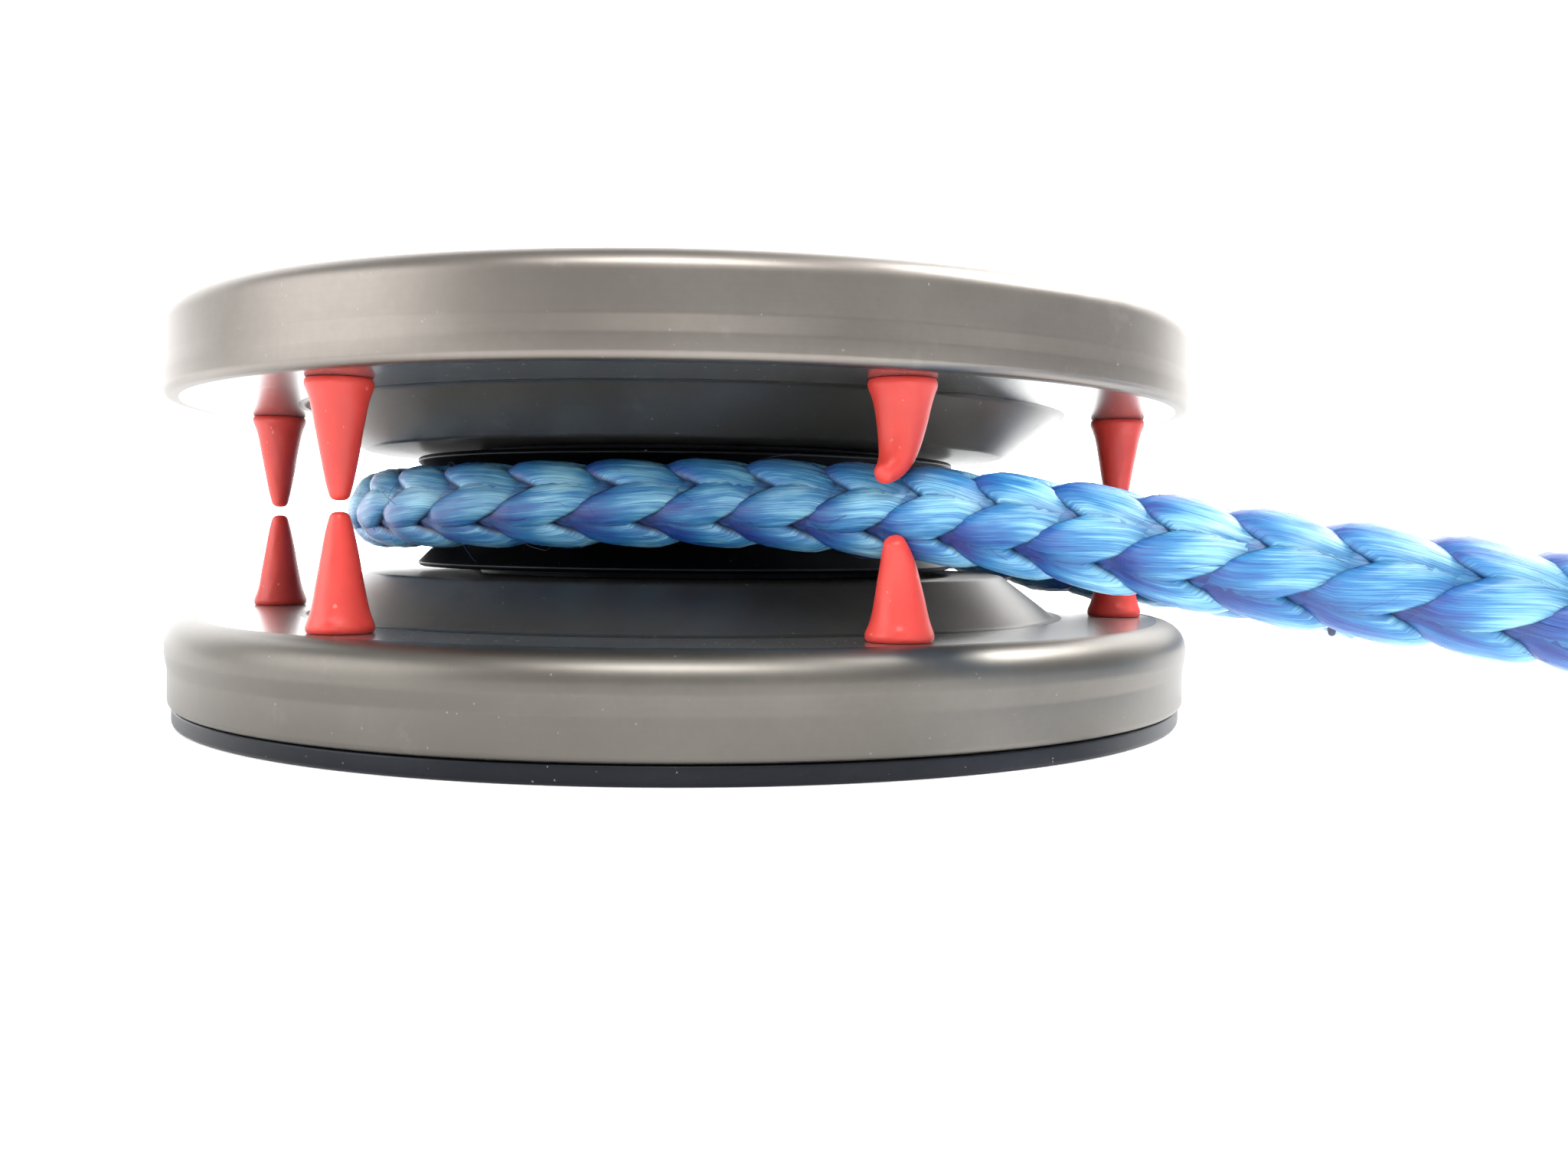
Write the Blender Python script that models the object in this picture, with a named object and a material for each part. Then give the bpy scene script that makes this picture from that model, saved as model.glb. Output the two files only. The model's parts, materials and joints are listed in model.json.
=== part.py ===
"""A low, flat sailboat winch for an endless or single line.

Two turned aluminium flanges are fixed to a central stem and a black base plate. Between them a
V-grooved sheave turns on two plain bearings, and a guide cone on each flange leads the line into
it. A winch handle turns the spindle, whose sun gear drives the sheave through three pinions that sit
in the windows of the stem, and two pawls stop the sheave from running back. Twelve soft keepers, six
on each flange, close the gap so that a slack line can't leave the groove.

Sizes are in millimetres, and METRES turns them into Blender's metres as each mesh is made. +Z is up,
and the origin is the centre of the base plate's underside.
"""

import math

import bmesh
import bpy
from mathutils import Matrix, Vector

METRES = 0.001
GAP = 0.3  # air between two pieces that touch
ROUND = 48  # sides of a large turned piece
HOLE_SIDES = 8

# Flanges
FLANGE_R = 70.0
BEAD_R = 70.35  # the slim bead at the edge of each inner face
HALF_GAP = 14.0  # from the mid plane to a flange's inner face
FLANGE_THICK = 11.2
PLATE_THICK = 3.0
RIM_INNER_R = 65.3
LAND_INNER_R = 37.5
LAND_OUTER_R = 43.0
CONE_FOOT_R = 52.8
CONE_TOP_R = 44.4
CONE_HALF_GAP = 8.3  # from the mid plane to the flat end of a cone
CONE_BORE_R = 30.6
FLANGE_SCREW_CIRCLE_R = 40.2
FLANGE_SCREW_ANGLES = range(0, 360, 120)

# Heights
BASE_THICK = 2.0
FLANGE_FOOT_Z = BASE_THICK + GAP
MID_Z = FLANGE_FOOT_Z + FLANGE_THICK + HALF_GAP
TOP_Z = MID_Z + HALF_GAP + FLANGE_THICK
BASE_R = 69.5

# Keepers: soft pins in a circle on each flange
KEEPER_CIRCLE_R = 61.6
KEEPER_COUNT = 6
KEEPER_FIRST_ANGLE = -38.4  # from the front, -Y, towards +X
KEEPER_LENGTH = 13.4
KEEPER_NECK_R = 1.6
KEEPER_SIDES = 8
LINE_KEEPER = 1  # the pair that the line pushes aside

# Gears: module 1, a sun, three pinions and an internal ring
MODULE = 1.0
SUN_TEETH = 18
PINION_TEETH = 12
RING_TEETH = SUN_TEETH + 2 * PINION_TEETH
PINION_ORBIT_R = MODULE * (SUN_TEETH + PINION_TEETH) / 2
PINION_ANGLES = (90, 210, 330)
BACKLASH = 0.36
GEAR_LOW_Z = 6.6
GEAR_HIGH_Z = 13.6
GEAR_SCREW_CIRCLE_R = 25.4

# Ratchet and pawls
RATCHET_TEETH = 24
RATCHET_ROOT_R = 28.2
RATCHET_TIP_R = 30.4
PAWL_ANGLES = (15, 195)  # where the two pawl tips sit, as angles from +X
PAWL_PIVOT_R = 33.6
PAWL_PIVOT_LAG = 20  # degrees from a pawl's tip back to its pivot
PAWL_PIN_R = 1.2

# Stem and spindle
STEM_FOOT_R = 36.0
STEM_FOOT_Z = BASE_THICK + GAP
STEM_FOOT_THICK = 3.0
STEM_CAGE_R = 19.2
STEM_TUBE_R = 18.2
STEM_THREAD_R = 16.8
STEM_BORE_R = 15.1
STEM_SHOULDER_Z = 42.7
STEM_TOP_Z = 51.6
PINION_PIN_R = 2.5
DECK_HOLE_R = 2.6
DECK_HOLE_CIRCLE_R = 28.0
DECK_HOLE_ANGLES = range(0, 360, 60)
STEM_SCREW_CIRCLE_R = 24.5
STEM_SCREW_ANGLES = (30, 150, 270)
SPINDLE_HEAD_R = 14.7
SPINDLE_RIM_R = 13.3
SPINDLE_NECK_R = 8.9
SPINDLE_TOP_Z = 52.0
SPINDLE_HEX_R = 6.4
SOCKET_HALF_SQUARE = 8.75  # the usual 17.5 mm winch handle square
SOCKET_FLOOR_Z = 24.5

# Sheave
SHEAVE_BORE_R = 22.4
SHEAVE_HUB_R = 29.6
SHEAVE_RIM_R = 38.3
SHEAVE_FLOOR_R = 31.8
SHEAVE_HALF_WIDTH = 7.5
SHEAVE_HUB_TOP_Z = 40.0
SHEAVE_SCREW_ANGLES = range(30, 390, 120)

# Line: a 10 mm single braid
LINE_R = 5.0
LINE_SIDES_RESOLUTION = 2
LINE_WRAP_R = 42.4
LINE_POINT_EVERY = 8.5
COIL_CENTRE = (186.0, -36.0)
COIL_OUTER_TURN_R = 53.0
COIL_TURN_STEP = 10.4
COIL_LAYER_STEP = 9.0

COLOURS = {
    "flange_grey": ((0.20, 0.19, 0.18), 1.0, 0.35),
    "anodised_black": ((0.02, 0.022, 0.026), 0.6, 0.35),
    "keeper_red": ((0.80, 0.05, 0.04), 0.0, 0.45),
    "line_blue": ((0.05, 0.19, 0.45), 0.0, 0.55),
    "stainless": ((0.62, 0.61, 0.59), 1.0, 0.3),
    "bronze": ((0.55, 0.36, 0.14), 1.0, 0.4),
    "acetal": ((0.78, 0.77, 0.72), 0.0, 0.5),
}


def material(name):
    """The shared Principled material of that name."""
    if name in bpy.data.materials:
        return bpy.data.materials[name]
    colour, metallic, roughness = COLOURS[name]
    made = bpy.data.materials.new(name)
    made.use_nodes = True
    shader = made.node_tree.nodes["Principled BSDF"]
    shader.inputs["Base Color"].default_value = (*colour, 1.0)
    shader.inputs["Metallic"].default_value = metallic
    shader.inputs["Roughness"].default_value = roughness
    return made


def link(name, mesh, finish, place=(0, 0, 0), turn=None):
    """A new object for a mesh, at a place in millimetres."""
    made = bpy.data.objects.new(name, mesh)
    bpy.context.scene.collection.objects.link(made)
    made.location = Vector(place) * METRES
    if turn is not None:
        made.rotation_euler = turn
    if finish and not mesh.materials:
        mesh.materials.append(material(finish))
    return made


def mesh_of(name, bm):
    """A bmesh in millimetres as a mesh in metres, with its faces pointing out and smooth shading."""
    bmesh.ops.remove_doubles(bm, verts=bm.verts, dist=1e-4)
    bmesh.ops.recalc_face_normals(bm, faces=bm.faces)
    bmesh.ops.scale(bm, vec=(METRES, METRES, METRES), verts=bm.verts)
    mesh = bpy.data.meshes.new(name)
    bm.to_mesh(mesh)
    bm.free()
    mesh.shade_smooth()
    mesh.set_sharp_from_angle(angle=math.radians(30))
    return mesh


def polar(radius, degrees):
    """A point of the XY plane at an angle from +X."""
    angle = math.radians(degrees)
    return (radius * math.cos(angle), radius * math.sin(angle))


def circle(radius, sides, centre=(0, 0), first=0.0):
    """The corners of a regular polygon."""
    return [
        (centre[0] + x, centre[1] + y)
        for x, y in (polar(radius, first + 360 * i / sides) for i in range(sides))
    ]


def turned_bmesh(profile, sides=ROUND):
    """A closed (radius, height) outline spun round the Z axis."""
    bm = bmesh.new()
    points = [bm.verts.new((r, 0, z)) for r, z in profile]
    edges = [bm.edges.new((a, b)) for a, b in zip(points, points[1:] + points[:1])]
    bmesh.ops.spin(
        bm, geom=points + edges, cent=(0, 0, 0), axis=(0, 0, 1), angle=2 * math.pi,
        steps=sides, use_merge=True, use_duplicate=False,
    )
    bmesh.ops.remove_doubles(bm, verts=bm.verts, dist=1e-4)
    bmesh.ops.delete(bm, geom=[e for e in bm.edges if e.is_wire], context="EDGES")
    return bm


def turned(name, profile, finish, sides=ROUND):
    """A turned piece."""
    return link(name, mesh_of(name, turned_bmesh(profile, sides)), finish)


def plate_bmesh(loops, low, high):
    """A flat piece between two heights. The first loop is its outline, and the others are holes."""
    bm = bmesh.new()
    edges = []
    for loop in loops:
        points = [bm.verts.new((x, y, low)) for x, y in loop]
        edges += [bm.edges.new((a, b)) for a, b in zip(points, points[1:] + points[:1])]
    bmesh.ops.triangle_fill(bm, edges=edges, use_beauty=True, use_dissolve=False)
    raised = bmesh.ops.extrude_face_region(bm, geom=list(bm.faces))
    top = [v for v in raised["geom"] if isinstance(v, bmesh.types.BMVert)]
    bmesh.ops.translate(bm, vec=(0, 0, high - low), verts=top)
    return bm


def plate(name, loops, low, high, finish, place=(0, 0, 0)):
    """A flat piece with holes."""
    return link(name, mesh_of(name, plate_bmesh(loops, low, high)), finish, place)


def joined(*parts):
    """Several closed bmeshes in one."""
    whole = bmesh.new()
    for part in parts:
        scratch = bpy.data.meshes.new("scratch")
        part.to_mesh(scratch)
        part.free()
        whole.from_mesh(scratch)
        bpy.data.meshes.remove(scratch)
    return whole


def rods(points, radius, low, high, sides=HOLE_SIDES):
    """Upright cylinders at points of the XY plane."""
    return joined(*(plate_bmesh([circle(radius, sides, p)], low, high) for p in points))


def cones(points, low_r, high_r, low, high, sides=HOLE_SIDES):
    """Upright truncated cones at points of the XY plane."""
    whole = bmesh.new()
    for x, y in points:
        place = Matrix.Translation((x, y, (low + high) / 2))
        bmesh.ops.create_cone(
            whole, cap_ends=True, cap_tris=False, segments=sides, radius1=low_r,
            radius2=high_r, depth=high - low, matrix=place,
        )
    return whole


def boolean(piece, name, bm, operation="DIFFERENCE"):
    """Cuts a bmesh from a piece, or joins it on, with a Boolean modifier whose object is left out."""
    other = link(name, mesh_of(name, bm), None)
    other.hide_render = True
    other.display_type = "WIRE"
    step = piece.modifiers.new(name, "BOOLEAN")
    step.operation = operation
    step.solver = "EXACT"
    step.object = other


def ring_points(radius, angles):
    """Points of the XY plane on a circle, at angles from +X."""
    return [polar(radius, a) for a in angles]


def mirrored(profile):
    """A (radius, height) outline reflected in the mid plane."""
    return [(r, 2 * MID_Z - z) for r, z in profile]


# ---------------------------------------------------------------- flanges and their covers


def beaded_edge():
    """The lower flange's edge towards the line, from its rim up over the bead to its flat face."""
    face = MID_Z - HALF_GAP
    return [(FLANGE_R, face - 3.0), (BEAD_R, face - 1.0), (FLANGE_R - 1.2, face)]


def keeper_places():
    """The keepers' centres in the XY plane, counted from the front left towards +X."""
    step = 360 / KEEPER_COUNT
    return [
        polar(KEEPER_CIRCLE_R, -90 + KEEPER_FIRST_ANGLE + i * step)
        for i in range(KEEPER_COUNT)
    ]


def lower_flange():
    foot = FLANGE_FOOT_Z
    under = MID_Z - HALF_GAP - PLATE_THICK
    outline = [(RIM_INNER_R, foot), (68.6, foot), (FLANGE_R, foot + 1.6)]
    outline += beaded_edge()
    outline += [
        (LAND_INNER_R, MID_Z - HALF_GAP),
        (LAND_INNER_R, foot),
        (LAND_OUTER_R, foot),
        (LAND_OUTER_R, under),
        (RIM_INNER_R, under),
    ]
    piece = turned("lower_flange", outline, "flange_grey")
    necks = rods(keeper_places(), KEEPER_NECK_R + GAP, under - 1, MID_Z - HALF_GAP + 1,
                 KEEPER_SIDES)
    threads = rods(ring_points(FLANGE_SCREW_CIRCLE_R, FLANGE_SCREW_ANGLES), 1.9,
                   foot - 1, foot + 9)
    boolean(piece, "lower_flange_holes", joined(necks, threads))


def upper_flange():
    land = TOP_Z - 2.5
    web_low = STEM_SHOULDER_Z + GAP
    web_high = web_low + 3.5
    over = MID_Z + HALF_GAP + PLATE_THICK
    outline = [(RIM_INNER_R, TOP_Z), (67.8, TOP_Z), (FLANGE_R, TOP_Z - 2.0)]
    outline += mirrored(beaded_edge())
    outline += [
        (CONE_BORE_R, MID_Z + HALF_GAP),
        (CONE_BORE_R, web_low),
        (STEM_THREAD_R + GAP, web_low),
        (STEM_THREAD_R + GAP, web_high),
        (LAND_INNER_R, web_high),
        (LAND_INNER_R, land),
        (LAND_OUTER_R, land),
        (LAND_OUTER_R, over),
        (RIM_INNER_R, over),
    ]
    piece = turned("upper_flange", outline, "flange_grey")
    necks = rods(keeper_places(), KEEPER_NECK_R + GAP, MID_Z + HALF_GAP - 1, over + 1,
                 KEEPER_SIDES)
    threads = rods(ring_points(FLANGE_SCREW_CIRCLE_R, FLANGE_SCREW_ANGLES), 1.9,
                   land - 5, land + 1)
    boolean(piece, "upper_flange_holes", joined(necks, threads))


def guide_cones():
    """A ring on each flange's face whose cone leads the line into the sheave."""
    foot = MID_Z - HALF_GAP + GAP
    flat = MID_Z - CONE_HALF_GAP
    outside = [
        (CONE_FOOT_R, foot),
        (CONE_TOP_R + 0.5, flat - 0.6),
        (CONE_TOP_R - 1.2, flat),
        (CONE_BORE_R, flat),
    ]
    shelf = flat - 2.0
    lower = outside + [(CONE_BORE_R, shelf), (LAND_INNER_R, shelf), (LAND_INNER_R, foot)]
    turned("lower_guide_cone", lower, "flange_grey")
    turned("upper_guide_cone", mirrored(outside + [(CONE_BORE_R, foot)]), "flange_grey")


def repeated(name, mesh, points, finish, height=0.0):
    """Numbered copies of one mesh, upright at points of the XY plane."""
    for i, (x, y) in enumerate(points):
        link(f"{name}_{i + 1}", mesh, finish, (x, y, height))


def countersunk_screws(name, points, head_z, tip_z):
    """Countersunk screws whose heads lie flush at head_z, pointing to tip_z."""
    way = 1 if tip_z > head_z else -1
    head_end = head_z + way * 1.9
    profile = [(0, head_z), (3.4, head_z), (1.6, head_end), (1.6, tip_z), (0, tip_z)]
    repeated(name, mesh_of(name, turned_bmesh(profile, 10)), points, "stainless")


def base():
    """The base plate and the screws that hold the lower flange and the stem to it, from below."""
    deck_holes = [circle(DECK_HOLE_R, HOLE_SIDES, p)
                  for p in ring_points(DECK_HOLE_CIRCLE_R, DECK_HOLE_ANGLES)]
    piece = plate("base_plate", [circle(BASE_R, ROUND), circle(4.0, 12), *deck_holes],
                  0, BASE_THICK, "anodised_black")
    flange_screws = ring_points(FLANGE_SCREW_CIRCLE_R, FLANGE_SCREW_ANGLES)
    stem_screws = ring_points(STEM_SCREW_CIRCLE_R, STEM_SCREW_ANGLES)
    sinks = cones(flange_screws + stem_screws, 4.1, 1.9, -0.2, BASE_THICK + 0.2, 10)
    boolean(piece, "base_plate_countersinks", sinks)
    countersunk_screws("flange_screw", flange_screws, 0.2, FLANGE_FOOT_Z + 8)
    countersunk_screws("stem_screw", stem_screws, 0.2, STEM_FOOT_Z + 2.4)


def top_cover():
    """The cover over the upper flange's pocket, its screws, and the nut that clamps the flange."""
    low = TOP_Z - 2.5 + GAP
    high = TOP_Z - 0.2
    points = ring_points(FLANGE_SCREW_CIRCLE_R, FLANGE_SCREW_ANGLES)
    piece = plate("top_cover", [circle(RIM_INNER_R - GAP, ROUND), circle(25.6, ROUND)],
                  low, high, "flange_grey")
    boolean(piece, "top_cover_countersinks", cones(points, 1.9, 4.1, low - 0.2, high + 0.2, 10))
    countersunk_screws("cover_screw", points, high - 0.2, high - 6)
    notched = []
    for i in range(6):
        middle = 60 * i
        notched += [polar(25.0, middle - 22), polar(25.0, middle - 14), polar(25.0, middle - 5.5)]
        notched += [polar(23.2, middle - 5.5), polar(23.2, middle + 5.5)]
        notched += [polar(25.0, middle + 5.5), polar(25.0, middle + 14)]
    plate("top_nut", [notched, circle(STEM_THREAD_R + GAP, ROUND)],
          STEM_SHOULDER_Z + 2 * GAP + 3.5, TOP_Z - 0.5, "stainless")


# ---------------------------------------------------------------- keepers


def keeper_mesh(name, lean=(0, 0), shorten=0.0):
    """A keeper that stands on a face at height 0. Its tip is moved sideways by lean and drawn
    down by shorten, on a smooth bend that starts at its base."""
    shape = [
        (2.3, -PLATE_THICK - 2.4),
        (2.6, -PLATE_THICK - GAP),
        (KEEPER_NECK_R, -PLATE_THICK - GAP),
        (KEEPER_NECK_R, GAP),
        (3.7, GAP),
        (3.7, 0.9),
        (2.9, 3.6),
        (1.9, 8.0),
        (1.05, KEEPER_LENGTH - 0.8),
        (0.5, KEEPER_LENGTH),
    ]
    bm = bmesh.new()
    loops = []
    for radius, height in shape:
        share = max(0.0, height / KEEPER_LENGTH) ** 2
        centre = (lean[0] * share, lean[1] * share, height - shorten * share)
        loop = bmesh.ops.create_circle(
            bm, cap_ends=False, radius=radius, segments=KEEPER_SIDES,
            matrix=Matrix.Translation(centre),
        )["verts"]
        loops.append(loop)
    for below, above in zip(loops, loops[1:]):
        edges = [e for e in bm.edges
                 if all(v in below for v in e.verts) or all(v in above for v in e.verts)]
        bmesh.ops.bridge_loops(bm, edges=edges)
    for end in (loops[0], loops[-1]):
        bmesh.ops.contextual_create(bm, geom=end)
    return mesh_of(name, bm)


def keepers():
    """Six keepers on each flange. The line bends one pair to the left and outwards."""
    straight = keeper_mesh("keeper")
    flip = (math.pi, 0, 0)
    for i, (x, y) in enumerate(keeper_places()):
        lower, upper = straight, straight
        if i == LINE_KEEPER:
            lower = keeper_mesh("keeper_leaning", lean=(-1.9, -2.6), shorten=2.4)
            upper = keeper_mesh("keeper_hooked", lean=(-3.0, 3.3), shorten=3.1)
        link(f"lower_keeper_{i + 1}", lower, "keeper_red", (x, y, MID_Z - HALF_GAP))
        link(f"upper_keeper_{i + 1}", upper, "keeper_red", (x, y, MID_Z + HALF_GAP), flip)


# ---------------------------------------------------------------- gears


def gear_outline(teeth, inner=False):
    """A gear's outline with three points on each flank. An internal gear's teeth point inwards."""
    pitch_r = MODULE * teeth / 2
    base_r = pitch_r * math.cos(math.radians(20))
    addendum, dedendum = 1.0 * MODULE, 1.25 * MODULE
    if inner:
        radii = (pitch_r + dedendum, pitch_r, pitch_r - addendum)
    else:
        radii = (pitch_r - dedendum, pitch_r, pitch_r + addendum)

    def roll(r):
        """The involute's polar angle at a radius."""
        a = math.acos(min(1.0, base_r / max(r, base_r)))
        return math.tan(a) - a

    pitch_half = math.pi / 2 / teeth - BACKLASH / 2 / pitch_r
    sign = 1 if inner else -1
    halves = [pitch_half + sign * (roll(r) - roll(pitch_r)) for r in radii]
    if inner:  # a wide tooth foot at the rim
        halves[0] = min(halves[0], math.pi / teeth * 0.8)
    outline = []
    for i in range(teeth):
        middle = 2 * math.pi * i / teeth
        flank = [(r, middle - h) for r, h in zip(radii, halves)]
        flank += [(r, middle + h) for r, h in reversed(list(zip(radii, halves)))]
        outline += [(r * math.cos(a), r * math.sin(a)) for r, a in flank]
    return outline


def ratchet_outline():
    """A saw-tooth outline: each tooth rises steeply, then falls away towards the next."""
    outline = []
    step = 360 / RATCHET_TEETH
    for i in range(RATCHET_TEETH):
        outline += [polar(RATCHET_ROOT_R, i * step), polar(RATCHET_TIP_R, i * step + 0.6)]
    return outline


def gears():
    plate("sun_gear", [gear_outline(SUN_TEETH), circle(SPINDLE_HEX_R + 0.4, 6)],
          GEAR_LOW_Z, GEAR_HIGH_Z, "bronze")
    pinion = mesh_of("pinion", plate_bmesh(
        [gear_outline(PINION_TEETH), circle(PINION_PIN_R + GAP, 12)],
        GEAR_LOW_Z + 0.2, GEAR_HIGH_Z - 0.2))
    for i, angle in enumerate(PINION_ANGLES):
        link(f"pinion_{i + 1}", pinion, "bronze", (*polar(PINION_ORBIT_R, angle), 0),
             (0, 0, math.radians(angle)))
    holes = [circle(1.9, HOLE_SIDES, p)
             for p in ring_points(GEAR_SCREW_CIRCLE_R, SHEAVE_SCREW_ANGLES)]
    plate("ring_gear", [ratchet_outline(), gear_outline(RING_TEETH, inner=True), *holes],
          GEAR_LOW_Z, GEAR_HIGH_Z, "bronze")
    pin = mesh_of("pinion_pin", plate_bmesh([circle(PINION_PIN_R, 12)], STEM_FOOT_Z + GAP, 17.3))
    repeated("pinion_pin", pin, ring_points(PINION_ORBIT_R, PINION_ANGLES), "stainless")


def pawls():
    """Two pawls with their pins and leaf springs, drawn as they ride over the ratchet's tips."""
    outline = [(30.75, -0.8), (32.6, -0.8), (35.2, -8), (36.2, -17), (36.2, -22.5), (34.6, -25),
               (31.6, -24), (31.2, -18), (31.1, -14), (30.85, -8)]
    spring = [(37.1, -40), (37.1, -26), (37.1, -14), (35.5, -4.6), (35.1, -5.3), (36.6, -14),
              (36.6, -26), (36.6, -40)]
    pins = []
    for i, tip in enumerate(PAWL_ANGLES):
        pivot = polar(PAWL_PIVOT_R, tip - PAWL_PIVOT_LAG)
        pins.append(pivot)
        shape = [polar(r, tip + a) for r, a in outline]
        local = [(x - pivot[0], y - pivot[1]) for x, y in shape]
        plate(f"pawl_{i + 1}", [local, circle(PAWL_PIN_R + GAP, HOLE_SIDES)],
              GEAR_LOW_Z + 0.3, GEAR_HIGH_Z - 0.6, "bronze", (*pivot, 0))
        plate(f"pawl_spring_{i + 1}", [[polar(r, tip + a) for r, a in spring]],
              8.0, 12.0, "stainless")
    pin = mesh_of("pawl_pin", plate_bmesh([circle(PAWL_PIN_R, HOLE_SIDES)], STEM_FOOT_Z + GAP, 14.2))
    repeated("pawl_pin", pin, pins, "stainless")


# ---------------------------------------------------------------- stem, spindle and sheave


def stem():
    foot_top = STEM_FOOT_Z + STEM_FOOT_THICK
    outline = [
        (11.3, STEM_FOOT_Z),
        (STEM_FOOT_R, STEM_FOOT_Z),
        (STEM_FOOT_R, foot_top),
        (STEM_CAGE_R, foot_top),
        (STEM_CAGE_R, 17.6),
        (STEM_TUBE_R, 17.6),
        (STEM_TUBE_R, STEM_SHOULDER_Z),
        (STEM_THREAD_R, STEM_SHOULDER_Z),
        (STEM_THREAD_R, STEM_TOP_Z),
        (STEM_BORE_R, STEM_TOP_Z),
        (STEM_BORE_R, STEM_TOP_Z - 0.7),
        (STEM_BORE_R + 0.8, STEM_TOP_Z - 0.7),
        (STEM_BORE_R + 0.8, STEM_TOP_Z - 1.9),
        (STEM_BORE_R, STEM_TOP_Z - 1.9),
        (STEM_BORE_R, 20.4),
        (SPINDLE_NECK_R + 0.4, 20.4),
        (SPINDLE_NECK_R + 0.4, 14.4),
        (11.3, 14.4),
    ]
    piece = turned("stem", outline, "stainless")
    orbit = ring_points(PINION_ORBIT_R, PINION_ANGLES)
    windows = rods(orbit, PINION_TEETH * MODULE / 2 + 1.5, foot_top + GAP, 14.35, 16)
    boolean(piece, "stem_windows", windows)
    deck = rods(ring_points(DECK_HOLE_CIRCLE_R, DECK_HOLE_ANGLES), DECK_HOLE_R, 1, 8)
    screws = rods(ring_points(STEM_SCREW_CIRCLE_R, STEM_SCREW_ANGLES), 1.9, 1, 8)
    pawl_holes = rods([polar(PAWL_PIVOT_R, a - PAWL_PIVOT_LAG) for a in PAWL_ANGLES],
                      PAWL_PIN_R + GAP, 1, 8)
    pins = rods(orbit, PINION_PIN_R + GAP, 1, 17.6, 12)
    boolean(piece, "stem_holes", joined(deck, screws, pawl_holes, pins))
    turned("spindle_lower_bush", [(5.3, 2.3), (11.0, 2.3), (11.0, 6.2), (5.3, 6.2)],
           "acetal", 20)
    turned("spindle_washer", [(9.4, 20.7), (14.7, 20.7), (14.7, 21.3), (9.4, 21.3)],
           "acetal", 24)
    clip = [polar(15.6, a) for a in range(25, 336, 15)]
    clip += [polar(13.7, a) for a in range(335, 24, -15)]
    plate("spindle_circlip", [clip], STEM_TOP_Z - 1.6, STEM_TOP_Z - 1.0, "stainless")


def spindle():
    head_low = 21.6
    outline = [
        (0, 2.9),
        (5.0, 2.9),
        (5.0, 14.0),
        (SPINDLE_NECK_R, 14.0),
        (SPINDLE_NECK_R, head_low),
        (SPINDLE_HEAD_R, head_low),
        (SPINDLE_HEAD_R, STEM_TOP_Z - 2.0),
        (SPINDLE_RIM_R, STEM_TOP_Z - 2.0),
        (SPINDLE_RIM_R, SPINDLE_TOP_Z - 0.5),
        (SPINDLE_RIM_R - 0.5, SPINDLE_TOP_Z),
        (0, SPINDLE_TOP_Z),
    ]
    piece = turned("spindle", outline, "stainless")
    hexagon = plate_bmesh([circle(SPINDLE_HEX_R, 6)], GEAR_LOW_Z - GAP, 15.0)
    boolean(piece, "spindle_hexagon", hexagon, "UNION")
    star = []
    for i in range(8):
        star.append(polar(SOCKET_HALF_SQUARE * math.sqrt(2), 45 * i))
        star.append(polar(SOCKET_HALF_SQUARE / math.cos(math.pi / 8), 45 * i + 22.5))
    boolean(piece, "spindle_socket", plate_bmesh([star], SOCKET_FLOOR_Z, SPINDLE_TOP_Z + 5))


def sheave():
    floor_gap = 0.15
    low_face = MID_Z - SHEAVE_HALF_WIDTH
    lower = [
        (SHEAVE_BORE_R, GEAR_HIGH_Z + GAP),
        (SHEAVE_HUB_R, GEAR_HIGH_Z + GAP),
        (SHEAVE_HUB_R, low_face),
        (SHEAVE_RIM_R - 0.4, low_face),
        (SHEAVE_RIM_R, low_face + 0.4),
        (SHEAVE_FLOOR_R, MID_Z - 0.5),
        (SHEAVE_FLOOR_R, MID_Z - floor_gap),
        (SHEAVE_BORE_R, MID_Z - floor_gap),
    ]
    upper = mirrored(lower[2:])
    upper += [(SHEAVE_BORE_R, SHEAVE_HUB_TOP_Z), (SHEAVE_HUB_R, SHEAVE_HUB_TOP_Z)]
    points = ring_points(GEAR_SCREW_CIRCLE_R, SHEAVE_SCREW_ANGLES)
    piece = turned("lower_cheek", lower, "anodised_black")
    boolean(piece, "lower_cheek_holes", rods(points, 1.9, 10, MID_Z + 3))
    piece = turned("upper_cheek", upper, "anodised_black")
    seats = rods(points, 2.75, SHEAVE_HUB_TOP_Z - 3.3, SHEAVE_HUB_TOP_Z + 2)
    boolean(piece, "upper_cheek_holes", rods(points, 1.9, MID_Z - 3, SHEAVE_HUB_TOP_Z - 1))
    boolean(piece, "upper_cheek_seats", seats)
    screw = [(0, 7.5), (1.6, 7.5), (1.6, SHEAVE_HUB_TOP_Z - 3.0), (2.4, SHEAVE_HUB_TOP_Z - 3.0),
             (2.4, SHEAVE_HUB_TOP_Z - 0.3), (0, SHEAVE_HUB_TOP_Z - 0.3)]
    repeated("sheave_screw", mesh_of("sheave_screw", turned_bmesh(screw, 8)), points, "stainless")
    turned("lower_thrust_washer", [(22.5, 5.6), (27.8, 5.6), (27.8, 6.3), (22.5, 6.3)],
           "acetal", 24)
    turned("upper_thrust_washer", [(22.9, 40.3), (29.3, 40.3), (29.3, 42.7), (22.9, 42.7)],
           "acetal", 24)


def bearings():
    """Plain bearing sleeves between the stem and the sheave, below and above the middle."""
    for name, low, high in (("lower_bearing", 18.0, 26.8), ("upper_bearing", 28.4, 39.8)):
        inner = STEM_TUBE_R + GAP
        outer = SHEAVE_BORE_R - GAP
        turned(name, [(inner, low), (outer, low), (outer, high), (inner, high)], "acetal", ROUND)


# ---------------------------------------------------------------- the line


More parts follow.
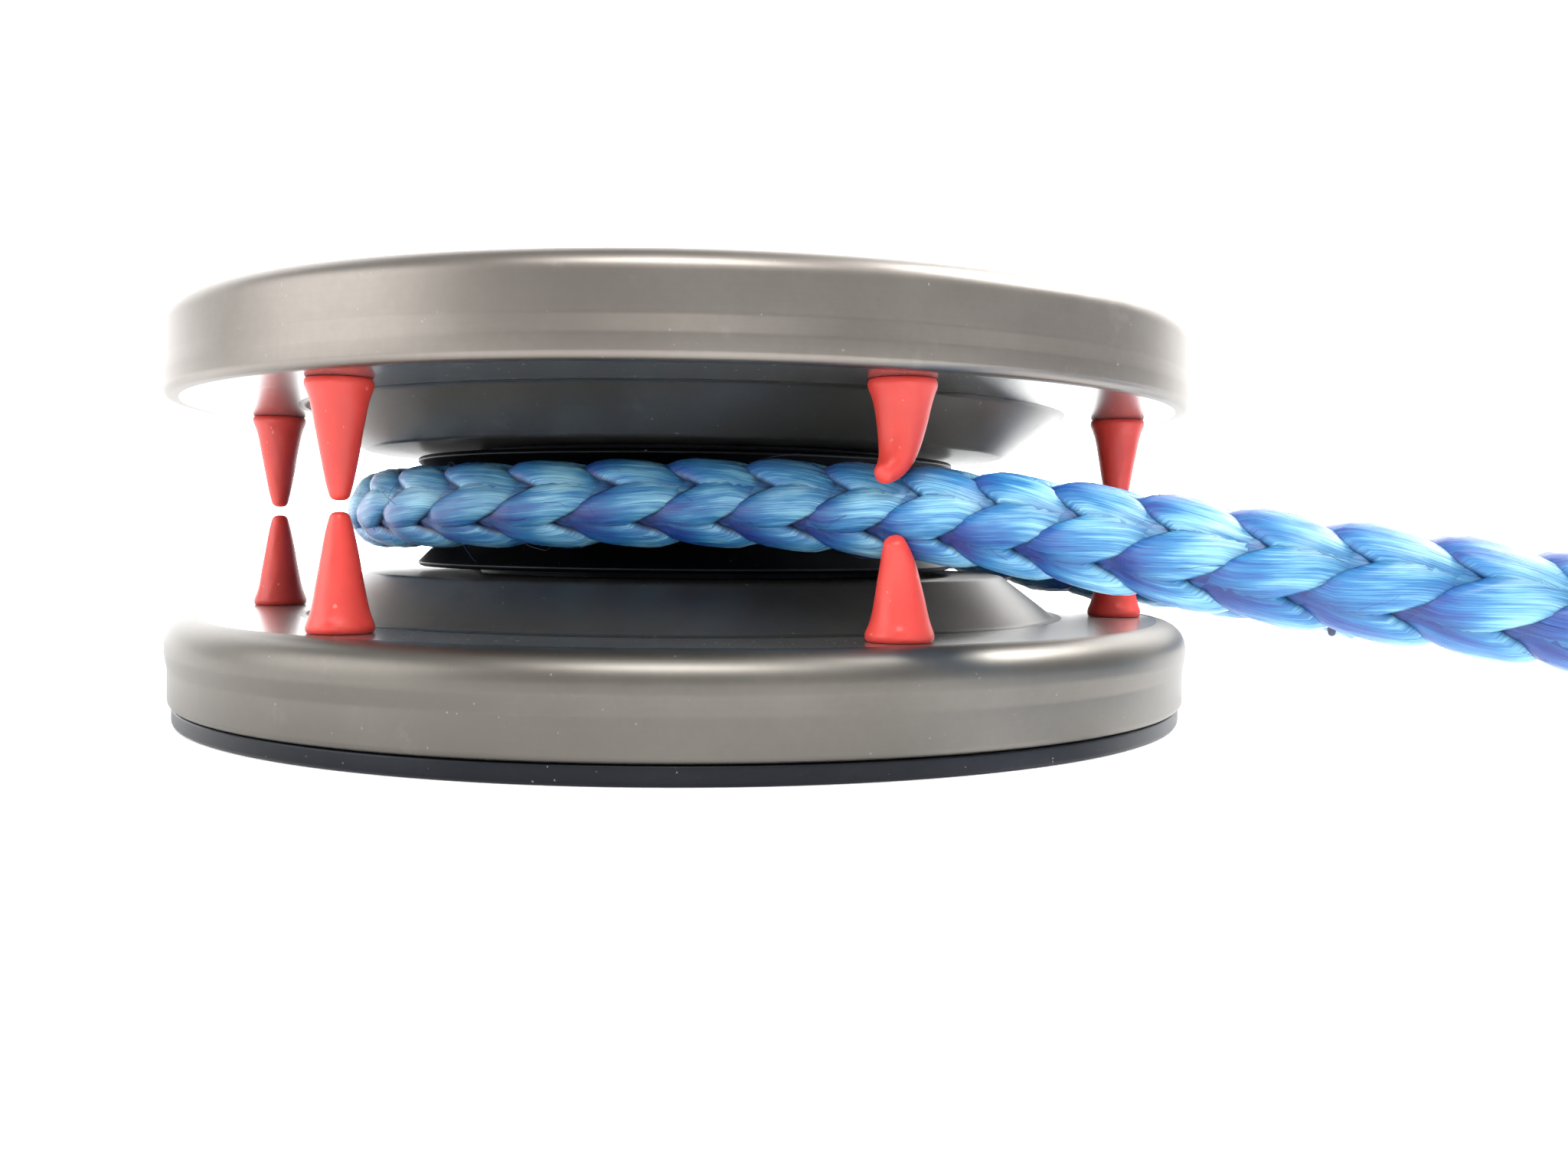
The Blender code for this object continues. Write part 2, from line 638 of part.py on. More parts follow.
def line_route():
    """The middle of the line from its standing end on the right, round the back of the sheave, out
    past the bent keepers and down to the coil, as points above the mid plane."""
    route = [(97.5, -6.8, -12.1), (86.3, -0.9, -10.5), (77.6, 4.1, -8.9), (60.2, 14.2, -6.9),
             (41.5, 25.0, -3.2), (30.5, 31.4, -1.0)]
    for angle in range(-210, -9, 18):
        x, y = polar(LINE_WRAP_R, angle - 90)
        rise = 0.9 * max(0.0, 1 + angle / 90)
        route.append((x, y, rise))
    route += [
        (4.0, -44.4, 0.9),
        (13.0, -48.6, 0.6),
        (23.0, -54.0, -0.1),
        (32.0, -60.2, -1.1),
        (41.0, -67.0, -2.6),
        (50.0, -73.0, -4.3),
        (60.0, -78.5, -6.0),
        (70.0, -83.0, -7.5),
        (80.4, -86.3, -9.2),
        (92.0, -88.3, -11.7),
        (105.0, -89.3, -15.0),
        (118.0, -89.5, -18.2),
        (132.0, -89.2, -20.9),
        (150.5, -89.0, -22.2),
    ]
    return [Vector((x, y, MID_Z + z)) for x, y, z in route]


def smooth_points(route, every):
    """Points at even steps along a Catmull-Rom curve through the route's points."""
    padded = [2 * route[0] - route[1], *route, 2 * route[-1] - route[-2]]
    fine = [route[0]]
    for p0, p1, p2, p3 in zip(padded, padded[1:], padded[2:], padded[3:]):
        for i in range(1, 17):
            t = i / 16
            fine.append(0.5 * (2 * p1 + (p2 - p0) * t + (2 * p0 - 5 * p1 + 4 * p2 - p3) * t**2
                               + (3 * p1 - p0 - 3 * p2 + p3) * t**3))
    lengths = [0.0]
    for a, b in zip(fine, fine[1:]):
        lengths.append(lengths[-1] + (b - a).length)
    steps = round(lengths[-1] / every)
    points, at = [], 0
    for i in range(steps + 1):
        wanted = lengths[-1] * i / steps
        while at < len(fine) - 2 and lengths[at + 1] < wanted:
            at += 1
        share = (wanted - lengths[at]) / (lengths[at + 1] - lengths[at])
        points.append(fine[at].lerp(fine[at + 1], share))
    return points


def line():
    """The line's free stretch as a tube, and its coil as one turned ring."""
    points = smooth_points(line_route(), LINE_POINT_EVERY)
    curve = bpy.data.curves.new("line", "CURVE")
    curve.dimensions = "3D"
    curve.bevel_depth = LINE_R * METRES
    curve.bevel_resolution = LINE_SIDES_RESOLUTION
    curve.use_fill_caps = True
    spline = curve.splines.new("POLY")
    spline.points.add(len(points) - 1)
    for target, point in zip(spline.points, points):
        target.co = (*(point * METRES), 1)
    tube = bpy.data.objects.new("line", curve)
    bpy.context.scene.collection.objects.link(tube)
    curve.materials.append(material("line_blue"))

    inner = COIL_OUTER_TURN_R - COIL_TURN_STEP - LINE_R
    outer = COIL_OUTER_TURN_R + LINE_R
    top_middle = COIL_OUTER_TURN_R - COIL_TURN_STEP / 2
    top = 2 * LINE_R + COIL_LAYER_STEP
    ring = [(inner + 2, 0.1), (outer - 2, 0.1), (outer, 3), (outer, 8), (outer - 2, 10.3),
            (top_middle + 4, top), (top_middle - 4, top), (inner + 2, 10.3), (inner, 8), (inner, 3)]
    coil = turned("line_coil", ring, "line_blue", 32)
    coil.location = Vector((*COIL_CENTRE, 0)) * METRES


def main():
    for old in list(bpy.data.objects):
        bpy.data.objects.remove(old)
    base()
    lower_flange()
    upper_flange()
    guide_cones()
    top_cover()
    keepers()
    gears()
    pawls()
    stem()
    spindle()
    sheave()
    bearings()
    line()


main()
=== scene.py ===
"""Looks for a low sailboat winch: two grey flanges with red keepers, a dark sheave between them and
a blue twelve-strand line that goes round it and out at the front right.

Lengths are in millimetres until a mesh or a place is finished, when MM turns them into metres.
"""

import json
import math
import random

import bmesh
import bpy
from mathutils import Matrix, Vector


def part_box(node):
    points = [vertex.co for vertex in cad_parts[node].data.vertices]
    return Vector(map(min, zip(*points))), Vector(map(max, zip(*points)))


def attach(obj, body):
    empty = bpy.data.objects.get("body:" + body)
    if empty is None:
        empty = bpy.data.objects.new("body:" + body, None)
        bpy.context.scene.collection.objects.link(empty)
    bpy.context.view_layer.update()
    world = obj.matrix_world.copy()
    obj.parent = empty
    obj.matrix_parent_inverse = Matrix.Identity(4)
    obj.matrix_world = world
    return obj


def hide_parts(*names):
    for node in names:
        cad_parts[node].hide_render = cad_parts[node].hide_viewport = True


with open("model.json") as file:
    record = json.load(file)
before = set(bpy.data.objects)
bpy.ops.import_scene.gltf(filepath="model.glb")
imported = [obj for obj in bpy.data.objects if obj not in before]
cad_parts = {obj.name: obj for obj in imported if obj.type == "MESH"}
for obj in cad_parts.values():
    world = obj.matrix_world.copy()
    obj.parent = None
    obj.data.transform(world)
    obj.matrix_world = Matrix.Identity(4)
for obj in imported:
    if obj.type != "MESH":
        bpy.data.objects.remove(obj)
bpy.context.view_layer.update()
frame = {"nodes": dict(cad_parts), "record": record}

MM = 0.001
rng = random.Random(7)


def mm_box(node):
    """A node's lowest and highest corners in millimetres."""
    low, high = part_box(node)
    return low / MM, high / MM


UPPER_LOW, UPPER_HIGH = mm_box("upper_flange")
LOWER_HIGH = mm_box("lower_flange")[1]
MID_Z = (UPPER_LOW.z + LOWER_HIGH.z) / 2
BEAD_R = UPPER_HIGH.x
FLANGE_R = BEAD_R - 0.35
FLANGE_THICK = 11.2
HALF_GAP = UPPER_HIGH.z - FLANGE_THICK - MID_Z  # from the middle of the groove to a flange's face
CONE_HALF_GAP = mm_box("upper_guide_cone")[0].z - MID_Z
CONE_FOOT_R = 52.8
CONE_TOP_R = 44.4
CONE_BORE_R = 30.6
RIM_INNER_R = 65.3
PLATE_THICK = 3.0
LAND_INNER_R = 37.5
LAND_OUTER_R = 43.0
STEM_BORE_R = 17.1
SHEAVE_RIM_R = mm_box("lower_cheek")[1].x
SHEAVE_BORE_R = 22.4
SHEAVE_POCKET_R = 29.6
GROOVE_FLOOR_R = 31.8
COVER_BORE_R = 25.6
BASE_BORE_R = 4.0
ROUND_SIDES = 220

KEEPER_CIRCLE_R = 61.6
KEEPER_FIRST_ANGLE = -38.4
KEEPER_LENGTH = 13.4
LINE_R = 5.0


# ---------------------------------------------------------------- shader maths


class Wire:
    """A number on a node's output. Arithmetic on it adds Math nodes."""

    def __init__(self, paint, socket):
        self.paint, self.socket = paint, socket

    def __add__(self, other):
        return self.paint.maths("ADD", self, other)

    def __sub__(self, other):
        return self.paint.maths("SUBTRACT", self, other)

    def __rsub__(self, other):
        return self.paint.maths("SUBTRACT", other, self)

    def __mul__(self, other):
        return self.paint.maths("MULTIPLY", self, other)

    def __pow__(self, other):
        return self.paint.maths("POWER", self, other)

    __radd__ = __add__
    __rmul__ = __mul__


class Paint:
    """A material with one Principled shader, and one method that adds any other node."""

    def __init__(self, name, **fixed):
        self.material = bpy.data.materials.new(name)
        self.material.use_nodes = True
        self.tree = self.material.node_tree
        self.shader = self.tree.nodes["Principled BSDF"]
        for socket, value in fixed.items():
            self.shader.inputs[socket.replace("_", " ")].default_value = value

    def plug(self, socket, value):
        """Sets a socket to a number, a colour, a Wire or another socket."""
        value = getattr(value, "socket", value)
        if isinstance(value, bpy.types.NodeSocket):
            self.tree.links.new(value, socket)
        elif isinstance(value, (tuple, list)) and socket.type == "RGBA":
            socket.default_value = (*value[:3], 1.0)
        else:
            socket.default_value = value

    def node(self, kind, settings, values):
        """A node with its settings, then the values of its sockets by name or number."""
        made = self.tree.nodes.new(kind)
        for key, value in settings.items():
            setattr(made, key, value)
        for key, value in values.items():
            self.plug(made.inputs[key], value)
        return made

    def maths(self, operation, *values):
        made = self.node("ShaderNodeMath", {"operation": operation}, dict(enumerate(values)))
        return Wire(self, made.outputs[0])

    def coordinates(self, kind="Object"):
        return self.tree.nodes.new("ShaderNodeTexCoord").outputs[kind]

    def split(self, vector):
        made = self.node("ShaderNodeSeparateXYZ", {}, {0: vector})
        return [Wire(self, out) for out in made.outputs]

    def vector(self, x, y, z):
        return self.node("ShaderNodeCombineXYZ", {}, {0: x, 1: y, 2: z}).outputs[0]

    def noise(self, vector, scale, detail=3.0, roughness=0.5):
        values = {"Vector": vector, "Scale": scale, "Detail": detail, "Roughness": roughness}
        return Wire(self, self.node("ShaderNodeTexNoise", {}, values).outputs["Fac"])

    def ramp(self, fac, *stops):
        """A colour or grey that follows stops of (place, colour)."""
        made = self.node("ShaderNodeValToRGB", {}, {0: fac})
        elements = made.color_ramp.elements
        for element, (place, colour) in zip(elements, stops):
            element.position, element.color = place, (*colour, 1.0)
        for place, colour in stops[2:]:
            elements.new(place).color = (*colour, 1.0)
        return made.outputs["Color"]

    def step(self, value, low, high):
        """0 below low, 1 above high, smooth between."""
        made = self.node("ShaderNodeMapRange", {"interpolation_type": "SMOOTHSTEP"},
                         {"Value": value, "From Min": low, "From Max": high})
        return Wire(self, made.outputs["Result"])

    def mix(self, fac, a, b, blend="MIX"):
        made = self.node("ShaderNodeMix", {"data_type": "RGBA", "blend_type": blend},
                         {0: fac, 6: a, 7: b})
        return made.outputs[2]

    def attribute(self, name):
        made = self.node("ShaderNodeAttribute", {"attribute_name": name}, {})
        return Wire(self, made.outputs["Fac"])

    def bump(self, height, distance, strength=1.0):
        made = self.node("ShaderNodeBump", {}, {"Height": height, "Distance": distance,
                                                "Strength": strength})
        self.plug(self.shader.inputs["Normal"], made.outputs[0])

    def set(self, **values):
        for socket, value in values.items():
            self.plug(self.shader.inputs[socket.replace("_", " ")], value)
        return self.material


def anodised(name, dark, light, rough, dusty=0.0, metal=1.0):
    """Hard-anodised aluminium: soft cloudy tones, faint turning lines, rubbed patches and dust."""
    paint = Paint(name, Metallic=metal)
    place = paint.coordinates()
    x, y, z = paint.split(place)
    radius = (x * x + y * y) ** 0.5
    blotch = paint.noise(place, 38.0, 4.0)
    fine = paint.noise(place, 1100.0, 2.0)
    lines = paint.noise(paint.vector(radius * 2500.0, z * 2500.0, 0.0), 1.0, 2.0)
    rubbed = paint.step(paint.noise(place, 130.0, 5.0, 0.7), 0.60, 0.72)
    dust = paint.step(paint.noise(place, 1500.0, 1.0), 0.775 - dusty, 0.80 - dusty)
    tone = blotch * 0.7 + fine * 0.1 + rubbed * 0.15 + lines * 0.05
    colour = paint.mix(paint.step(tone, 0.30, 0.66), dark, light)
    colour = paint.mix(dust * 0.45, colour, (0.5, 0.49, 0.47))
    paint.bump(lines * 0.5 + fine * 0.5, 0.00001, 0.30)
    return paint.set(
        Base_Color=colour,
        Roughness=rough + (blotch - 0.5) * 0.08 + rubbed * 0.05 + dust * 0.3,
    )


def satin_metal(name, colour, rough):
    """Turned metal with fine round tool marks."""
    paint = Paint(name, Metallic=1.0)
    place = paint.coordinates()
    x, y, z = paint.split(place)
    radius = (x * x + y * y) ** 0.5
    lines = paint.noise(paint.vector(radius * 5000.0, z * 5000.0, 0.0), 1.0, 3.0)
    stain = paint.noise(place, 90.0, 4.0)
    tint = paint.mix(stain, [c * 0.82 for c in colour], [min(1.0, c * 1.1) for c in colour])
    paint.bump(lines, 0.00002, 0.3)
    return paint.set(Base_Color=tint, Roughness=rough + (stain - 0.5) * 0.2 + (lines - 0.5) * 0.1)


def acetal():
    paint = Paint("acetal", Roughness=0.45)
    grain = paint.noise(paint.coordinates(), 300.0, 3.0)
    paint.bump(grain, 0.00003, 0.3)
    return paint.set(Base_Color=paint.mix(grain, (0.70, 0.69, 0.63), (0.86, 0.85, 0.80)))


def keeper_rubber():
    """Coral red moulded rubber, a little cloudy, with scuffed specks."""
    paint = Paint("keeper_rubber", Subsurface_Weight=0.25, Subsurface_Radius=(0.004, 0.001, 0.0006),
                  Subsurface_Scale=0.5, IOR=1.47)
    place = paint.coordinates()
    cloud = paint.noise(place, 260.0, 4.0)
    grain = paint.noise(place, 2600.0, 2.0)
    speck = paint.step(paint.noise(place, 1300.0, 1.0), 0.74, 0.80)
    colour = paint.mix(cloud, (0.60, 0.040, 0.033), (0.74, 0.070, 0.052))
    colour = paint.mix(speck * 0.35, colour, (0.95, 0.45, 0.38))
    paint.bump(grain, 0.00003, 0.35)
    return paint.set(Base_Color=colour, Roughness=0.40 + (cloud - 0.5) * 0.25)


def line_fibre():
    """Blue slick fibre: fine filaments, deep blue where a strand rises and pale where it dips again,
    the pale part a painted highlight. Strands deep in the braid, and the filling, get painted shade.
    """
    paint = Paint("line_fibre", Coat_Weight=0.3, Coat_Roughness=0.28, IOR=1.5,
                  Subsurface_Weight=0.25, Subsurface_Radius=(0.35, 0.75, 1.0), Subsurface_Scale=0.003)
    along, across, _ = paint.split(paint.coordinates("UV"))
    depth = paint.attribute("depth")
    painted_sheen = paint.attribute("painted_sheen")
    hair = paint.noise(paint.vector(along * 1.3, across * 80.0, 0.0), 1.0, 4.0, 0.65)
    tow = paint.noise(paint.vector(along * 0.9, across * 16.0, 3.0), 1.0, 3.0, 0.6)
    patch = paint.noise(paint.vector(along * 1.0, across * 3.0, 9.0), 1.0, 2.0)
    # the painted sheen pushes the tone towards the pale stop at each float's end: a painted highlight
    tone = hair * 0.36 + tow * 0.34 + patch * 0.30 + (painted_sheen - 0.5) * 0.22
    colour = paint.ramp(
        tone,
        (0.36, (0.004, 0.024, 0.20)),
        (0.74, (0.34, 0.70, 0.86)),
        (0.45, (0.008, 0.078, 0.31)),
        (0.56, (0.026, 0.195, 0.43)),
    )
    tint = paint.noise(paint.vector(along * 0.9, across * 5.0, 17.0), 1.0, 2.0)
    violet = paint.step(tint, 0.55, 0.75)
    colour = paint.mix(violet * 0.15, colour, (0.09, 0.09, 0.36))
    # painted shade: strands deep in the braid and the filling fade to dark navy
    painted_gap_shade = paint.step(depth, 0.70, 0.86)
    colour = paint.mix(painted_gap_shade, (0.004, 0.014, 0.06), colour)
    paint.bump(hair * 0.65 + tow * 0.35, 0.00016, 0.8)
    return paint.set(Base_Color=colour, Roughness=0.38 + (hair - 0.5) * 0.3)


def whipping_twine():
    paint = Paint("whipping_twine", Roughness=0.75)
    along, across, _ = paint.split(paint.coordinates("UV"))
    strand = paint.noise(paint.vector(along * 2.0, across * 30.0, 0.0), 1.0, 3.0)
    paint.bump(strand, 0.00005, 0.5)
    return paint.set(Base_Color=paint.mix(strand, (0.004, 0.008, 0.03), (0.03, 0.05, 0.12)))


# ---------------------------------------------------------------- mesh helpers


def finish(name, bm, material, body, replaced=(), sharp=30):
    """Turns a bmesh in millimetres into a smooth piece that rides on a body."""
    bmesh.ops.remove_doubles(bm, verts=bm.verts, dist=1e-4)
    bmesh.ops.recalc_face_normals(bm, faces=bm.faces)
    bmesh.ops.scale(bm, vec=(MM, MM, MM), verts=bm.verts)
    mesh = bpy.data.meshes.new(name)
    bm.to_mesh(mesh)
    bm.free()
    mesh.shade_smooth()
    mesh.set_sharp_from_angle(angle=math.radians(sharp))
    mesh.materials.append(material)
    return placed(name, mesh, body, replaced)


def placed(name, data, body, replaced=()):
    """A new piece for a mesh that is already in place."""
    piece = bpy.data.objects.new(name, data)
    bpy.context.scene.collection.objects.link(piece)
    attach(piece, body)
    if replaced:
        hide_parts(*replaced)
    return piece


def rounded(corners, steps=6):
    """An outline of (radius, height, fillet) corners with its fillets as arcs."""
    points = []
    for i, (r, z, fillet) in enumerate(corners):
        here = Vector((r, z))
        if fillet <= 0:
            points.append(here)
            continue
        a = (Vector(corners[i - 1][:2]) - here).normalized()
        b = (Vector(corners[(i + 1) % len(corners)][:2]) - here).normalized()
        half = a.angle(b) / 2
        centre = here + (a + b).normalized() * fillet / math.sin(half)
        reach = fillet / math.tan(half)
        first, last = here + a * reach - centre, here + b * reach - centre
        points += [centre + first.slerp(last, k / steps) * fillet for k in range(steps + 1)]
    return points


def turned_bmesh(outline, sides=180):
    """A closed (radius, height) outline spun round the Z axis."""
    bm = bmesh.new()
    points = [bm.verts.new((p[0], 0, p[1])) for p in outline]
    edges = [bm.edges.new((a, b)) for a, b in zip(points, points[1:] + points[:1])]
    bmesh.ops.spin(bm, geom=points + edges, cent=(0, 0, 0), axis=(0, 0, 1), angle=2 * math.pi,
                   steps=sides, use_merge=True, use_duplicate=False)
    bmesh.ops.remove_doubles(bm, verts=bm.verts, dist=1e-4)
    bmesh.ops.delete(bm, geom=[e for e in bm.edges if e.is_wire], context="EDGES")
    return bm


def polar(radius, degrees):
    angle = math.radians(degrees)
    return (radius * math.cos(angle), radius * math.sin(angle))


# ---------------------------------------------------------------- camera and light


def camera():
    """The view from the front, slightly below the middle of the groove."""
    yaw, pitch, roll = math.radians(3.939), math.radians(2.314), math.radians(0.562)
    eye = Vector((0, -205.8, MID_Z - 2.3))
    ahead = Vector((math.cos(pitch) * math.sin(yaw), math.cos(pitch) * math.cos(yaw), -math.sin(pitch)))
    right = Vector((math.cos(yaw), -math.sin(yaw), 0))
    up = right.cross(ahead)
    across = right * math.cos(roll) + up * math.sin(roll)
    above = up * math.cos(roll) - right * math.sin(roll)
    turn = Matrix((across, above, -ahead)).transposed().to_4x4()
    data = bpy.data.cameras.new("camera")
    data.sensor_width = 36.0
    data.lens = 32.18
    data.clip_start = 0.005
    made = bpy.data.objects.new("camera", data)
    bpy.context.scene.collection.objects.link(made)
    made.matrix_world = Matrix.Translation(eye * MM) @ turn
    bpy.context.scene.camera = made


def light(name, place, aim, size, power):
    data = bpy.data.lights.new(name, "AREA")
    data.shape = "RECTANGLE"
    data.size, data.size_y = size
    data.energy = power
    made = bpy.data.objects.new(name, data)
    bpy.context.scene.collection.objects.link(made)
    made.location = place
    made.rotation_euler = (Vector(aim) - Vector(place)).to_track_quat("-Z", "Y").to_euler()


def studio():
    """A white sweep under a pale sky, with a soft key above the camera, one lamp behind on the right
    and a wide fill on the left. The sweep glows unevenly, as painted light and shade."""
    world = bpy.data.worlds.new("studio")
    bpy.context.scene.world = world
    world.use_nodes = True
    sky = world.node_tree.nodes["Background"]
    sky.inputs["Color"].default_value = (1.0, 1.0, 1.0, 1.0)
    sky.inputs["Strength"].default_value = 0.62
    light("key", (-0.03, -0.47, 0.61), (0.0, -0.07, 0.03), (0.40, 0.18), 4.2)
    light("rear_right", (0.42, 0.02, 0.50), (0.14, -0.09, 0.02), (0.28, 0.28), 5.0)
    light("left_fill", (-0.90, -0.25, 0.35), (0, 0, 0.03), (0.80, 0.60), 5.0)
    paint = Paint("sweep", Roughness=0.9)
    place = paint.coordinates()
    grain = paint.noise(place, 3.0, 2.0)
    aside, away, _ = paint.split(place)
    # The sweep's glow is painted light and shade: dim in front of the winch, a little brighter beside
    # and behind it, most at the sides, and full far behind.
    sides = paint.step(aside, 0.03, 0.08) * 0.7 + paint.step(aside, -0.06, -0.14) * 0.9
    near = paint.mix(paint.step(away, -0.26, -0.16) * (sides + 0.3),
                     (0.05, 0.05, 0.05), (0.25, 0.25, 0.25))
    paint.set(Base_Color=paint.mix(grain, (0.84, 0.84, 0.84), (0.87, 0.87, 0.87)),
              Emission_Color=paint.mix(paint.step(away, 0.1, 0.7), near, (1.0, 1.0, 1.0)),
              Emission_Strength=2.2)
    front, back, bend, height, width = -2.5, 1.2, 0.8, 3.5, 6.0
    quarter = [math.pi * k / 24 for k in range(1, 13)]
    profile = [(front, 0), (back, 0),
               *((back + bend * math.sin(a), bend - bend * math.cos(a)) for a in quarter),
               (back + bend, height)]
    bm = bmesh.new()
    outline = [bm.verts.new((-width / 2, y, z)) for y, z in profile]
    edges = [bm.edges.new(pair) for pair in zip(outline, outline[1:])]
    swept = bmesh.ops.extrude_edge_only(bm, edges=edges)["geom"]
    moved = [v for v in swept if isinstance(v, bmesh.types.BMVert)]
    bmesh.ops.translate(bm, vec=(width, 0, 0), verts=moved)
    mesh = bpy.data.meshes.new("sweep")
    bm.to_mesh(mesh)
    bm.free()
    mesh.shade_smooth()
    mesh.materials.append(paint.material)
    floor = bpy.data.objects.new("sweep", mesh)
    bpy.context.scene.collection.objects.link(floor)
    bpy.context.scene.view_settings.view_transform = "Standard"


# ---------------------------------------------------------------- the line


LINE_WRAP_R = 42.4
COIL_CENTRE = (186.0, -36.0)
COIL_OUTER_TURN_R = 53.0
COIL_TURN_STEP = 10.4
COIL_LAYER_STEP = 9.0


def line_route():
    """The middle of the line from its standing end on the right, round the back of the sheave and
    out past the bent keepers down to the coil, in the same points as the CAD route."""
    route = [(97.5, -6.8, -12.1), (86.3, -0.9, -10.5), (77.6, 4.1, -8.9), (60.2, 14.2, -6.9),
             (41.5, 25.0, -3.2), (30.5, 31.4, -1.0)]
    for angle in range(-210, -9, 18):
        x, y = polar(LINE_WRAP_R, angle - 90)
        route.append((x, y, 0.9 * max(0.0, 1 + angle / 90)))
    route += [(4.0, -44.4, 0.9), (13.0, -48.6, 0.6), (23.0, -54.0, -0.1), (32.0, -60.2, -1.1),
              (41.0, -67.0, -2.6), (50.0, -73.0, -4.3), (60.0, -78.5, -6.0), (70.0, -83.0, -7.5),
              (80.4, -86.3, -9.2), (92.0, -88.3, -11.7), (105.0, -89.3, -15.0),
              (118.0, -89.5, -18.2), (132.0, -89.2, -20.9), (150.5, -89.0, -22.2)]
    return [Vector((x, y, MID_Z + z)) for x, y, z in route]


def coil_route():
    """Two turns side by side on the floor, and one more in the valley on top of them."""
    low, high = LINE_R + 0.2, LINE_R + 0.2 + COIL_LAYER_STEP
    outer, inner = COIL_OUTER_TURN_R, COIL_OUTER_TURN_R - COIL_TURN_STEP
    stages = [(0, outer, low), (280, outer, low), (350, inner, low), (650, inner, low),
              (720, (inner + outer) / 2, high), (1000, (inner + outer) / 2, high)]
    points = []
    for (a0, r0, z0), (a1, r1, z1) in zip(stages, stages[1:]):
        steps = max(3, round((a1 - a0) / 20))
        for i in range(steps):
            t = i / steps
            ease = t * t * (3 - 2 * t)
            x, y = polar(r0 + (r1 - r0) * ease, a0 + (a1 - a0) * t - 90)
            points.append(Vector((COIL_CENTRE[0] + x, COIL_CENTRE[1] + y, z0 + (z1 - z0) * ease)))
    return points


def smooth_points(route, every):
    """Points at even steps along a Catmull-Rom curve through the route's points."""
    padded = [2 * route[0] - route[1], *route, 2 * route[-1] - route[-2]]
    fine = [route[0]]
    for p0, p1, p2, p3 in zip(padded, padded[1:], padded[2:], padded[3:]):
        for i in range(1, 17):
            t = i / 16
            fine.append(0.5 * (2 * p1 + (p2 - p0) * t + (2 * p0 - 5 * p1 + 4 * p2 - p3) * t**2
                               + (3 * p1 - p0 - 3 * p2 + p3) * t**3))
    lengths = [0.0]
    for a, b in zip(fine, fine[1:]):
        lengths.append(lengths[-1] + (b - a).length)
    points, at, wanted = [], 0, 0.0
    while wanted < lengths[-1]:
        while at < len(fine) - 2 and lengths[at + 1] < wanted:
            at += 1
        share = (wanted - lengths[at]) / (lengths[at + 1] - lengths[at])
        points.append((wanted, fine[at].lerp(fine[at + 1], share)))
        wanted += every(wanted)
    return points


def frames_along(points):
    """For each point its two sideways directions, carried along without twist."""
    ways = [(b - a).normalized() for a, b in zip(points, points[1:])]
    ways.append(ways[-1])
    side = Vector((0, 0, 1)).cross(ways[0]).normalized()
    frames = []
    last = ways[0]
    for way in ways:
        side = last.rotation_difference(way) @ side
        side = (side - way * side.dot(way)).normalized()
        frames.append((side, way.cross(side), way))
        last = way
    return frames


STRAND_PAIRS = 6
PICK = 9.6  # between two strands of one row, along the line
STRAND_HALF_WIDTH = 2.30
STRAND_HALF_THICK = 1.20
STRAND_SIDES = 14
STRAND_FULLNESS = 0.78  # 1 is an ellipse, less is boxier
STRAND_DROOP = 0.30  # how far a strand's edges fall round the line
FLOAT_PROUD = 0.25
WEAVE = 0.60  # how far a strand rises and dips at its crossings
WEAVE_HARDNESS = 2.5  # of the step between rising and dipping
CORE_R = 3.6
CORE_SIDES = 8
# the filling's depth puts it in the painted shade, and its sheen is middling
CORE_DEPTH, CORE_SHEEN = 0.72, 0.5
UV_UNIT = 10  # millimetres
YARN_TURN = math.radians(23)  # the yarns are twisted, so that they lie nearly along the line
ROW_TURN = 1.64  # of the rows round the line, in radians
FRONT_FROM = 190.0  # the line comes round to the front here
FRONT_FLOAT_END = 233.0  # a place along the line where floats end
SLACK_FROM = 259.8  # past here the line is slack, thicker and shorter in its picks
SLACK_EASE = 40  # the length over which it slackens
SLACK_SHORTER = 0.09
SLACK_THICKER = 0.28
SLACK_WIDER = 0.08
SEEN_END = 394.8  # the coil starts here


def fuller(value):
    """A cosine or sine pushed out, so that a round section turns boxier."""
    return math.copysign(abs(value) ** STRAND_FULLNESS, value)


def strand_rings(points, frames, hand, index):
    """The rings of one strand, as points with their depth in the braid, their painted sheen and their
    sideways place. The sheen is a painted highlight, most at a float's end. The strand floats outside
    over two strands, then dips under two."""
    lay = PICK * STRAND_PAIRS
    mean = LINE_R - STRAND_HALF_THICK - WEAVE + FLOAT_PROUD
    rings = []
    for (s, centre), (side, up, way) in zip(points, frames):
        past = max(0.0, s - SLACK_FROM)
        slack = min(1.0, past / SLACK_EASE)
        picks = (s - FRONT_FLOAT_END + SLACK_SHORTER * past) / PICK
        turn = 2 * math.pi * (hand * picks + index) / STRAND_PAIRS
        wave = math.sin(3 * turn)
        swing = hand * math.tanh(WEAVE_HARDNESS * wave) / math.tanh(WEAVE_HARDNESS)
        lift = mean + WEAVE * swing + SLACK_THICKER * slack
        angle = turn + ROW_TURN
        out = side * math.cos(angle) + up * math.sin(angle)
        round_ = up * math.cos(angle) - side * math.sin(angle)
        lean = hand * 2 * math.pi * lift / lay
        across = (round_ - way * lean).normalized()
        swell = 1.0 + 0.02 * swing
        sheen_level = 0.5 + 0.5 * math.cos(3 * hand * turn - 0.8 * math.pi)  # painted highlight, strongest at a float's end
        ring = []
        for k in range(STRAND_SIDES):
            a = 2 * math.pi * k / STRAND_SIDES
            w = (STRAND_HALF_WIDTH + SLACK_WIDER * slack) * swell * fuller(math.cos(a))
            t = STRAND_HALF_THICK * fuller(math.sin(a))
            rise = lift + t - STRAND_DROOP * w * w / lift
            ring.append((centre + out * rise + across * w, min(1.0, rise / LINE_R), sheen_level, w))
        rings.append(ring)
    return rings


